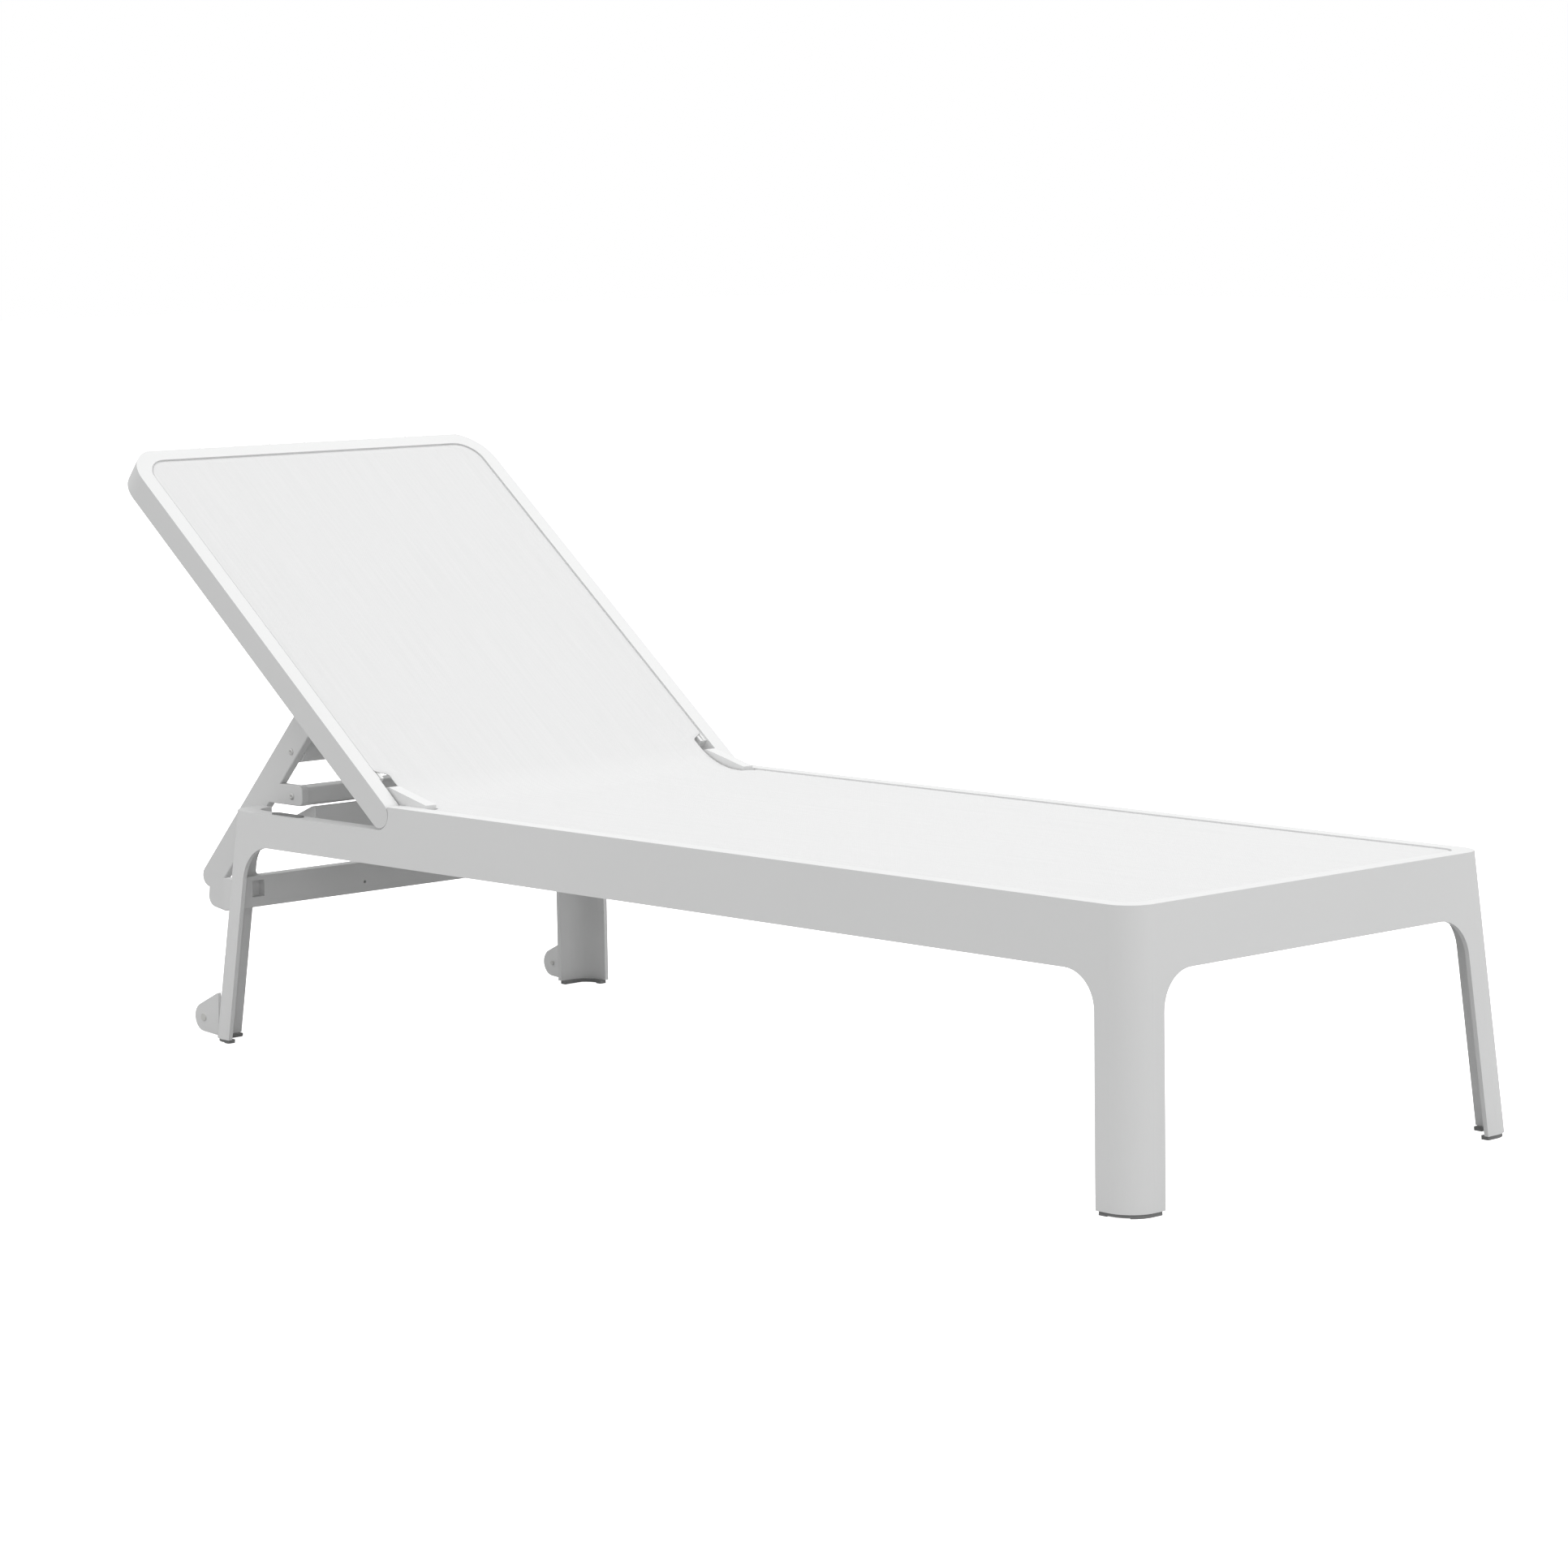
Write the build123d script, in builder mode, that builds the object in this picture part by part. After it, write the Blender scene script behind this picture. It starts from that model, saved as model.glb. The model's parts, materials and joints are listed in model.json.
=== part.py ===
from build123d import *
import os
from math import cos, radians, sin

# Reclining sling sun lounger, millimetres, +Z up, +X towards the foot end, +Y to the left of a
# person lying on it. The floor is Z = 0. The origin lies on the floor under the middle of the
# whole lounger with its backrest raised.

# ---- overall sizes -------------------------------------------------------------------------
base_length = 1600.0      # base frame, over its top rim
base_width = 620.0        # base frame, over its top rim
seat_height = 340.0       # top of the rim above the floor
splay = 0.079             # outward lean of every side, mm per mm of drop
back_length = 692.0       # hinge axis to the head end of the backrest
back_angle = 38.6         # backrest above horizontal as modelled

# ---- base frame moulding -------------------------------------------------------------------
corner_radius = 35.0      # vertical corner, in plan
wall = 6.0                # outer wall
rail_height = 75.0        # outer face of the long rails
flange = 6.0              # top flange thickness
rim_width = 22.0          # top flange width
lip_wall = 3.5            # inner wall of the rail channel
lip_depth = 48.0          # depth of that inner wall
leg_along = {"foot": 56.0, "head": 47.0}   # leg plate width along X, from the corner
leg_across = 53.0         # leg plate width along Y, from the corner
arch_radius = 48.0        # round between a leg and a rail
step_drop = 31.0          # how far the head rails lie under the seat rim
saddle_drop = 28.0        # further drop of the head rail where the prop crosses it
saddle_inset = 53.0       # side of that saddle from the side of the rim
stretcher_top = 217.0     # stretcher between the head legs
stretcher_bottom = 176.0
slot_length = 20.0        # moulded slot at each end of the stretcher
slot_height = 22.0
rib = 3.0                 # stiffening ribs inside the rails
rib_pitch = 84.0
pad_height = 5.0          # non-slip pads under the legs
pad_margin = 2.5          # pad edge inside the leg's outline

# ---- backrest hinge ------------------------------------------------------------------------
hinge_setback = 311.0     # hinge axis from the head end of the rim
hinge_height = 329.0      # hinge axis above the floor
hinge_gap = 2.0           # air round the backrest's rounded ends
pin_radius = 5.0
bush_wall = 2.0
running_fit = 0.05        # radial clearance of every turning fit
lug_width = 17.0          # hinge lug, across
lug_gap = 2.5             # between lug and backrest member
lug_reach = 65.0          # how far the lug runs back along the rail
pin_head_radius = 9.0
pin_head = 3.0

# ---- backrest moulding ---------------------------------------------------------------------
back_depth = 35.0
back_member = 22.0        # width of its side members
back_corner = 57.0        # plan radius at the head end
back_wall = 4.0
back_edge = 3.0           # softened outer edges

# ---- slings --------------------------------------------------------------------------------
sling_thickness = 1.4
sling_recess = 1.0        # top of the sling below the rim
sling_edge_gap = 2.0      # between sling edge and rim
keder_radius = 3.5
channel_width = 11.0      # moulded channel that holds the keder
channel_depth = 11.0
seat_sling_start = 380.0  # from the head end of the rim
back_sling_start = 48.0   # from the hinge axis

# ---- prop that holds the backrest ----------------------------------------------------------
prop_up = 234.0           # prop pivot along the backrest from the hinge
prop_low = 9.0            # prop pivot below the middle plane of the backrest
prop_angle = 47.55        # arms below horizontal as modelled
arm_inset = 60.0          # outer face of each arm from the side of the rim
arm_thickness = 12.0
arm_width = 39.0
arm_length = 366.0
arm_eye = 17.0            # rounded pivot end of the arm
block_height = 27.0       # hook block that stands on the head beam
block_bottom = 313.0
block_reach = 78.0        # inner end of the block from the head end of the rim
hook_bar_depth = 35.0
upper_bar_at = 106.0       # upper cross bar from the pivot
upper_bar_radius = 15.0
bar_wall = 2.5
rod_radius = 6.0

# ---- head beam, braces ---------------------------------------------------------------------
beam_top = 311.6
beam_slope_drop = 22.0    # fall of its top towards the head rail
beam_width = 59.0
beam_inset = 80.0         # end of the beam from the side of the rim
brace_radius = 11.0
brace_wall = 1.6
brace_height = 300.0
brace_places = [395.0, 790.0, 1185.0]   # from the head end of the rim

# ---- transport wheels ----------------------------------------------------------------------
wheel_radius = 20.5
wheel_width = 14.0
wheel_out = 26.0          # wheel axis beyond the leg's foot, and its height
wheel_side_gap = 0.5
cheek = 5.0
cheek_outset = 11.0       # outer face of the outer cheek beyond the side of the rim
axle_radius = 3.0
cheek_radius = 19.0

# ---- smaller sizes -------------------------------------------------------------------------
window_radius = 36.0      # upper corners of the head window
stretcher_radius = 6.0    # rounds between stretcher and legs
stretcher_depth = 18.0
slot_depth = 11.0
drain_place = 92.0        # drain holes through the stretcher, from the middle
drain_height = 14.0
drain_radius = 2.2
slot_lift = 4.0           # slot above the middle of the stretcher
slot_overrun = 5.0        # slot past the leg's inner edge
seat_block = 30.0         # solid stretch of rail at the hinge
saddle_lip = 14.0
lug_ear_back = 9.0
lug_ear_up = 18.0
lug_ear_radius = 14.0
lug_foot = 40.0
lug_drop = 46.0
lug_rise = 3.5
channel_round = 6.0
sling_air = 0.5           # between sling and channel
keder_cover = 1.4         # plastic over the keder
keder_slot = 2.0
keder_end_gap = 1.0
rib_margin = 90.0
cheek_top = 62.0
pad_width = 13.0
pad_arch = 2.0
beam_bottom = 268.0
beam_flat = 8.0
beam_wall = 4.0
beam_pitch = 56.0
beam_cells = 8
pin_reach = 16.0          # pin and bush into the backrest member
back_hollow_start = 32.0
back_rib_pitch = 60.0
back_head_ribs = 3
rod_boss = 34.0
upper_bar_side = 8.0      # upper bar off the arm's middle line
hook_bar_inset = 4.0      # bar face behind the block's end
hook_bar_step = 3.0       # bar top under the block's top
hook_bar_round = 5.0
arm_taper = 44.0
heel_radius = 14.5
toe_drop = 12.0
toe_start = 22.0
toe_end = 40.0
toe_radius = 14.0
block_length = 75.0
block_root = 52.0
block_round = 7.0
arm_bevel = 1.0
bar_plug = 26.0           # solid end of the upper bar that takes its screw
bar_cells = 8
bar_cell_pitch = 51.0     # hollows under the hook bar
screw_radius = 2.5
screw_grip = 22.0
screw_head = 1.6
screw_head_radius = 4.5
spacer_gap = 0.3
spacer_wall = 4.0
collar_width = 6.0
wheel_round = 2.5
axle_tail = 2.0
axle_head = 1.2
axle_head_radius = 5.0
buffer_place = 110.0      # from the head end of the rim
buffer_length = 60.0
buffer_width = 12.0
buffer_height = 1.8

# ---- derived -------------------------------------------------------------------------------
half_l = base_length / 2
half_w = base_width / 2
saddle_half = half_w - saddle_inset
beam_half = half_w - beam_inset
arm_outer = half_w - arm_inset
cheek_outer = half_w + cheek_outset
angle = radians(back_angle)
tilt = radians(prop_angle)
back_half = back_depth / 2
back_head = (hinge_setback - half_l - (back_length - back_edge) * cos(angle)
             - (back_half - back_edge) * sin(angle) - back_edge)
base_x = -(half_l + splay * (seat_height - pad_height) + back_head) / 2
head_x = base_x - half_l
foot_x = base_x + half_l
hinge_x = head_x + hinge_setback
low_top = seat_height - step_drop
saddle_top = low_top - saddle_drop
rail_bottom = seat_height - rail_height
rail_inner = half_w - rim_width
opening_radius = corner_radius - rim_width / 2
lug_outer = rail_inner - lug_gap
lug_inner = lug_outer - lug_width
bush_radius = pin_radius + bush_wall
sling_top = seat_height - sling_recess
channel_top = sling_top - sling_thickness - sling_air
keder_drop = sling_air + sling_thickness + keder_radius + keder_cover
arm_inner = arm_outer - arm_thickness


def level(z):
    """Horizontal plane at height z, centred on the base."""
    return Plane(origin=(base_x, 0, z))


def across(y):
    """Upright plane along the lounger at y, drawn in X and Z; extruding it runs towards -Y."""
    return Plane.XZ.offset(-y)


def spread(z):
    return splay * (seat_height - z)


def outer_size(z, inset=0.0):
    return (base_length + 2 * (spread(z) - inset), base_width + 2 * (spread(z) - inset))


def leg_inner_x(z, end):
    return half_l + spread(z) - leg_along[end]


def leg_inner_y(z):
    return half_w + spread(z) - leg_across


def on_back(u, w):
    """X and Z of a point u along the backrest from the hinge, w above its middle plane."""
    return (hinge_x - u * cos(angle) + w * sin(angle), hinge_height + u * sin(angle) + w * cos(angle))


prop_x, prop_z = on_back(prop_up, -prop_low)


def on_arm(s, t):
    """X and Z of a point s down the prop arm from its pivot, t towards its foot-end edge."""
    return (prop_x - s * cos(tilt) + t * sin(tilt), prop_z - s * sin(tilt) - t * cos(tilt))


def back_level(w):
    """Plane of the backrest at height w; its x runs from the hinge to the head end."""
    x, z = on_back(0, w)
    return Plane(origin=(x, 0, z), x_dir=(-cos(angle), 0, sin(angle)), z_dir=(sin(angle), 0, cos(angle)))


def save(part, name):
    part.label = name
    export_step(part, f"parts/{name}.step")


os.makedirs("parts", exist_ok=True)
sides = {"left": 1, "right": -1}

# ---- main frame: rails, legs, head rail and stretcher in one moulding -----------------------
with BuildPart() as main_frame:
    for z in (pad_height, seat_height):
        with BuildSketch(level(z)):
            RectangleRounded(*outer_size(z), corner_radius)
    loft(ruled=True)
    for z in (-pad_height, seat_height - flange):
        with BuildSketch(level(z)):
            RectangleRounded(*outer_size(z, wall), corner_radius - wall)
    loft(ruled=True, mode=Mode.SUBTRACT)

    # opening inside the rim, and the inner wall of the hollow rail
    with BuildSketch(level(seat_height)):
        RectangleRounded(*outer_size(seat_height, rim_width), opening_radius)
    extrude(amount=-2 * flange, mode=Mode.SUBTRACT)
    with BuildSketch(level(seat_height)):
        RectangleRounded(*outer_size(seat_height, rim_width - lip_wall), opening_radius + lip_wall)
        RectangleRounded(*outer_size(seat_height, rim_width), opening_radius, mode=Mode.SUBTRACT)
    extrude(amount=-lip_depth)

    # arch under each long rail
    with BuildSketch(Plane.XZ):
        with BuildLine():
            Polyline(
                (base_x - leg_inner_x(0, "head"), 0),
                (base_x - leg_inner_x(rail_bottom, "head"), rail_bottom),
                (base_x + leg_inner_x(rail_bottom, "foot"), rail_bottom),
                (base_x + leg_inner_x(0, "foot"), 0),
                close=True,
            )
        make_face()
        fillet(vertices().group_by(Axis.Y)[-1], arch_radius)
    extrude(amount=base_width, both=True, mode=Mode.SUBTRACT)

    # arch under the foot rail, drawn in Y and Z
    with BuildSketch(Plane.YZ.offset(base_x)):
        with BuildLine():
            Polyline(
                (-leg_inner_y(0), 0),
                (-leg_inner_y(rail_bottom), rail_bottom),
                (leg_inner_y(rail_bottom), rail_bottom),
                (leg_inner_y(0), 0),
                close=True,
            )
        make_face()
        fillet(vertices().group_by(Axis.Y)[-1], arch_radius)
    extrude(amount=base_length, mode=Mode.SUBTRACT)

    # head end: one opening between rail and stretcher, one below the stretcher
    for low, high, round_top in (
        (stretcher_top, rail_bottom, window_radius),
        (0.0, stretcher_bottom, stretcher_radius),
    ):
        with BuildSketch(Plane.YZ.offset(base_x)):
            with BuildLine():
                Polyline(
                    (-leg_inner_y(low), low),
                    (-leg_inner_y(high), high),
                    (leg_inner_y(high), high),
                    (leg_inner_y(low), low),
                    close=True,
                )
            make_face()
            fillet(vertices().group_by(Axis.Y)[-1], round_top)
            if low > 0:
                fillet(vertices().group_by(Axis.Y)[0], stretcher_radius)
        extrude(amount=-base_length, mode=Mode.SUBTRACT)

    # the rails drop behind the hinge; a solid seat faces each rounded end of the backrest
    for y in sides.values():
        with BuildSketch(level(low_top - flange)):
            with Locations((hinge_setback - half_l + seat_block / 2, y * (half_w - rim_width / 2 - 1))):
                Rectangle(seat_block, rim_width - wall)
        extrude(amount=step_drop)
    with BuildSketch(Plane.XZ):
        with BuildLine():
            Polyline(
                (head_x - base_width, low_top),
                (hinge_x, low_top),
                (hinge_x, 2 * seat_height),
                (head_x - base_width, 2 * seat_height),
                close=True,
            )
        make_face()
        with Locations((hinge_x, hinge_height)):
            Circle(back_half + hinge_gap)
    extrude(amount=base_width, both=True, mode=Mode.SUBTRACT)
    with BuildSketch(level(low_top)):
        RectangleRounded(*outer_size(low_top), corner_radius)
        RectangleRounded(*outer_size(seat_height, rim_width), opening_radius, mode=Mode.SUBTRACT)
        with Locations((hinge_setback - base_length, 0)):
            Rectangle(base_length, 2 * base_width, mode=Mode.INTERSECT)
    extrude(amount=-flange)

    # saddle in the head rail, where the prop crosses it
    with BuildSketch(level(saddle_top)):
        with Locations((-half_l, 0)):
            Rectangle(4 * rim_width, 2 * saddle_half)
    extrude(amount=saddle_drop + step_drop, mode=Mode.SUBTRACT)
    with BuildSketch(level(saddle_top)):
        RectangleRounded(*outer_size(saddle_top), corner_radius)
        RectangleRounded(*outer_size(seat_height, rim_width), opening_radius, mode=Mode.SUBTRACT)
        with Locations((-half_l, 0)):
            Rectangle(4 * rim_width, 2 * saddle_half + 2 * flange, mode=Mode.INTERSECT)
    extrude(amount=-flange)
    with BuildSketch(level(saddle_top)):
        with Locations((rim_width - lip_wall / 2 - half_l, 0)):
            Rectangle(lip_wall, 2 * rail_inner - 2 * opening_radius)
    extrude(amount=-saddle_lip)

    # stretcher between the head legs, with a moulded slot at each end
    stretcher_outer = wall / 4 - half_l - spread(stretcher_top)
    with BuildSketch(level(stretcher_bottom)):
        with Locations((stretcher_outer + stretcher_depth / 2, 0)):
            Rectangle(stretcher_depth, 2 * (half_w + spread(stretcher_top) - wall / 2))
    extrude(amount=stretcher_top - stretcher_bottom)
    slot_middle = (stretcher_top + stretcher_bottom) / 2 + slot_lift
    for y in sides.values():
        with BuildSketch(Plane.YZ.offset(base_x + stretcher_outer + stretcher_depth)):
            with Locations((y * (leg_inner_y(slot_middle) + slot_length / 2 - slot_overrun), slot_middle)):
                Rectangle(slot_length, slot_height)
        extrude(amount=-slot_depth, mode=Mode.SUBTRACT)
    with BuildSketch(Plane.YZ.offset(base_x + stretcher_outer + stretcher_depth)):
        with Locations((-drain_place, stretcher_bottom + drain_height), (drain_place, stretcher_bottom + drain_height)):
            Circle(drain_radius)
    extrude(amount=-stretcher_depth, mode=Mode.SUBTRACT)

    # hinge lugs stand beside the backrest's rounded ends
    for y in sides.values():
        with BuildSketch(across(y * lug_outer)):
            with Locations((hinge_x, hinge_height)):
                Circle(back_half)
            with Locations((hinge_x - lug_ear_back, hinge_height + lug_ear_up)):
                Circle(lug_ear_radius)
            with Locations((hinge_x + lug_reach - lug_foot / 2, seat_height + lug_rise - lug_drop / 2)):
                Rectangle(lug_foot, lug_drop)
            make_hull()
        extrude(amount=y * lug_width)
        with BuildSketch(level(seat_height)):
            with Locations((hinge_setback - half_l + lug_reach - lug_foot / 2, y * (rail_inner - lug_gap / 2))):
                Rectangle(lug_foot, lug_gap)
        extrude(amount=lug_rise - lug_drop)
        with BuildSketch(across(y * (lug_outer + 1))):
            with Locations((hinge_x, hinge_height)):
                Circle(pin_radius)
        extrude(amount=y * (lug_width + 2), mode=Mode.SUBTRACT)

    # channel round the seat opening for the sling's keder
    seat_sling_x = head_x + seat_sling_start
    with BuildSketch(level(channel_top)):
        RectangleRounded(*outer_size(seat_height, rim_width), opening_radius)
        RectangleRounded(*outer_size(seat_height, rim_width + channel_width), channel_round, mode=Mode.SUBTRACT)
        with Locations((seat_sling_start, 0)):
            Rectangle(base_length, base_width, mode=Mode.INTERSECT)
    extrude(amount=-channel_depth)
    keder_y = rail_inner - channel_width / 2
    keder_z = seat_height - sling_recess - keder_drop
    for y in sides.values():
        with BuildSketch(Plane.YZ.offset(seat_sling_x - 1)):
            with Locations((y * keder_y, keder_z)):
                Circle(keder_radius + running_fit)
            with Locations((y * keder_y, (keder_z + channel_top + 1) / 2)):
                Rectangle(keder_slot, channel_top + 1 - keder_z)
        extrude(amount=foot_x - rim_width - corner_radius - seat_sling_x, mode=Mode.SUBTRACT)
    keder_x = foot_x - rim_width - channel_width / 2
    with BuildSketch(across(rail_inner - corner_radius)):
        with Locations((keder_x, keder_z)):
            Circle(keder_radius + running_fit)
        with Locations((keder_x, (keder_z + channel_top + 1) / 2)):
            Rectangle(keder_slot, channel_top + 1 - keder_z)
    extrude(amount=2 * (rail_inner - corner_radius), mode=Mode.SUBTRACT)

    # ribs inside the hollow long rails
    rib_count = int((base_length - hinge_setback - 2 * rib_margin) / rib_pitch)
    rib_start = hinge_setback - half_l + rib_margin
    for y in sides.values():
        with BuildSketch(level(seat_height - flange)):
            for k in range(rib_count + 1):
                with Locations((rib_start + k * rib_pitch, y * (half_w - rim_width / 2 - wall / 2))):
                    Rectangle(rib, rim_width - wall)
        extrude(amount=-lip_depth + flange + rib)

    # cheeks that carry the transport wheels on the head legs
    wheel_x = head_x - spread(0) - wheel_out
    cheek_root = head_x - spread(pad_height) + wall
    for y in sides.values():
        for outer_face in (cheek_outer, cheek_outer - cheek - wheel_width - 2 * wheel_side_gap):
            with BuildSketch(across(y * outer_face)):
                with Locations((wheel_x, wheel_out)):
                    Circle(cheek_radius)
                with Locations((cheek_root - 1, cheek_top / 2 + pad_height / 2)):
                    Rectangle(2, cheek_top - pad_height)
                make_hull()
                with Locations((wheel_x, wheel_out)):
                    Circle(axle_radius, mode=Mode.SUBTRACT)
            extrude(amount=y * cheek)

save(main_frame.part, "main_frame")

# ---- pads under the legs ---------------------------------------------------------------------
for end, x in {"foot": 1, "head": -1}.items():
    for name, y in sides.items():
        with BuildPart() as leg_pad:
            for z in (0.0, pad_height):
                with BuildSketch(level(z)):
                    RectangleRounded(*outer_size(z, pad_margin), corner_radius - pad_margin)
            loft(ruled=True)
            for z in (-1.0, pad_height + 1):
                with BuildSketch(level(z)):
                    RectangleRounded(*outer_size(z, pad_width), corner_radius - pad_width)
            loft(ruled=True, mode=Mode.SUBTRACT)
            with BuildSketch(level(0)):
                with Locations((x * (leg_inner_x(0, end) + leg_along[end] / 2 + pad_margin),
                                y * (leg_inner_y(0) + leg_across / 2 + pad_margin))):
                    Rectangle(leg_along[end], leg_across)
            extrude(amount=pad_height, mode=Mode.INTERSECT)
            # a shallow arch leaves a foot at each end of the pad
            with BuildSketch(across(0)):
                with Locations((base_x + x * (leg_inner_x(0, end) + leg_along[end] / 2), 0)):
                    Rectangle(leg_along[end] / 2, pad_arch)
            extrude(amount=base_width, both=True, mode=Mode.SUBTRACT)
        save(leg_pad.part, f"{end}_pad_{name}")

# ---- seat sling, its keder rods and the braces under it -------------------------------------
with BuildPart() as seat_sling:
    with BuildSketch(level(sling_top)):
        RectangleRounded(*outer_size(seat_height, rim_width + sling_edge_gap), opening_radius - sling_edge_gap)
        with Locations((seat_sling_start, 0)):
            Rectangle(base_length, base_width, mode=Mode.INTERSECT)
    extrude(amount=-sling_thickness)
save(seat_sling.part, "seat_sling")

for name, y in sides.items():
    with BuildPart() as keder:
        with BuildSketch(Plane.YZ.offset(seat_sling_x)):
            with Locations((y * keder_y, keder_z)):
                Circle(keder_radius)
        extrude(amount=foot_x - rim_width - corner_radius - seat_sling_x - keder_end_gap)
    save(keder.part, f"seat_keder_{name}")
with BuildPart() as keder_foot:
    with BuildSketch(across(rail_inner - corner_radius - keder_end_gap)):
        with Locations((keder_x, keder_z)):
            Circle(keder_radius)
    extrude(amount=2 * (rail_inner - corner_radius - keder_end_gap))
save(keder_foot.part, "seat_keder_foot")

for number, place in enumerate(brace_places, start=1):
    with BuildPart() as brace:
        with BuildSketch(across(rail_inner)):
            with Locations((head_x + place, brace_height)):
                Circle(brace_radius)
                Circle(brace_radius - brace_wall, mode=Mode.SUBTRACT)
        extrude(amount=2 * rail_inner)
    save(brace.part, f"seat_brace_{number}")

# ---- head beam that the prop stands on -------------------------------------------------------
beam_x = head_x + rim_width
with BuildPart() as head_beam:
    with BuildSketch(across(beam_half)):
        with BuildLine():
            Polyline(
                (beam_x, beam_bottom),
                (beam_x, beam_top - beam_slope_drop),
                (beam_x + beam_width - beam_flat, beam_top),
                (beam_x + beam_width, beam_top),
                (beam_x + beam_width, beam_bottom),
                close=True,
            )
        make_face()
    extrude(amount=2 * beam_half)
    with BuildSketch(level(beam_bottom)):
        with GridLocations(0, beam_pitch, 1, beam_cells):
            with Locations((rim_width + beam_width / 2 - half_l, 0)):
                Rectangle(beam_width - 2 * beam_wall, beam_pitch - beam_wall)
    extrude(amount=beam_top - beam_slope_drop - beam_bottom - beam_wall, mode=Mode.SUBTRACT)
save(head_beam.part, "head_beam")

# ---- hinge pins and bushes -------------------------------------------------------------------
for name, y in sides.items():
    with BuildPart() as hinge_pin:
        with BuildSketch(across(y * (rail_inner + pin_reach))):
            with Locations((hinge_x, hinge_height)):
                Circle(pin_radius)
        extrude(amount=y * (rail_inner + pin_reach - lug_inner))
        with BuildSketch(across(y * lug_inner)):
            with Locations((hinge_x, hinge_height)):
                Circle(pin_head_radius)
        extrude(amount=y * pin_head)
        chamfer(faces().sort_by(Axis.Y)[0 if y > 0 else -1].edges(), pin_head / 4)
    save(hinge_pin.part, f"hinge_pin_{name}")

    with BuildPart() as hinge_bush:
        with BuildSketch(across(y * (rail_inner + pin_reach))):
            with Locations((hinge_x, hinge_height)):
                Circle(bush_radius)
                Circle(pin_radius + running_fit, mode=Mode.SUBTRACT)
        extrude(amount=y * pin_reach)
    save(hinge_bush.part, f"hinge_bush_{name}")

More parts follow.
